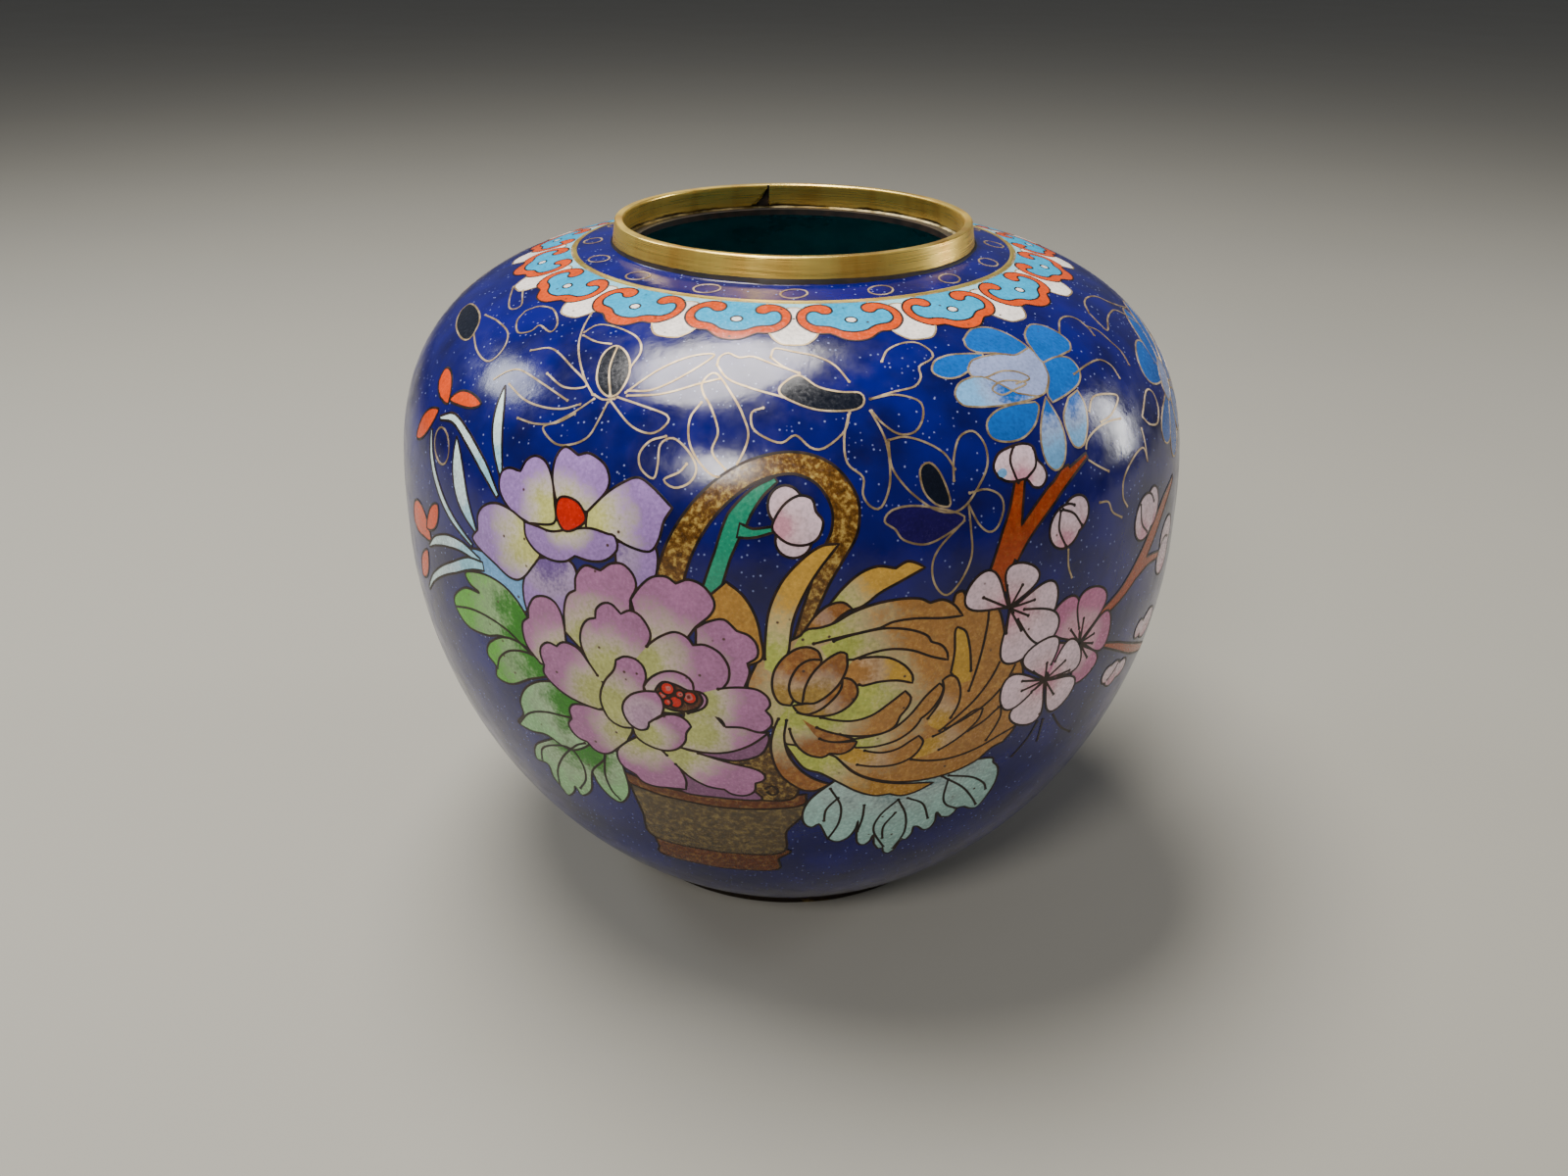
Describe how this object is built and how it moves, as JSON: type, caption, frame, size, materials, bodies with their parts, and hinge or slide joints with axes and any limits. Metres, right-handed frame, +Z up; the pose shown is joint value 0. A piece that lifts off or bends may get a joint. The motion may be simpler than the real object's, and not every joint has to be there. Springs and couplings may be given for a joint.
{
  "type": "cloisonne jar",
  "caption": "Hollow globular jar of enamelled copper with wire-divided flowers, a brass rim round its open mouth and a brass foot ring.",
  "frame": {"origin": "on the jar's axis, on the surface that the foot ring stands on", "axes": "+Z up along the jar's axis through the mouth, -Y towards the front with the flower basket, +X to the right as seen from the front"},
  "size_m": [0.178, 0.178, 0.1541],
  "materials": {
    "enamel": "glossy vitreous enamel on copper, cobalt blue with coloured cells and fine brass wires",
    "rim_brass": "worn gilt brass, brushed round",
    "foot_brass": "worn gilt brass, lightly tarnished"
  },
  "bodies": {
    "root": {"jar_body": "enamel", "mouth_rim": "rim_brass", "foot_ring": "foot_brass"}
  },
  "joints": []
}
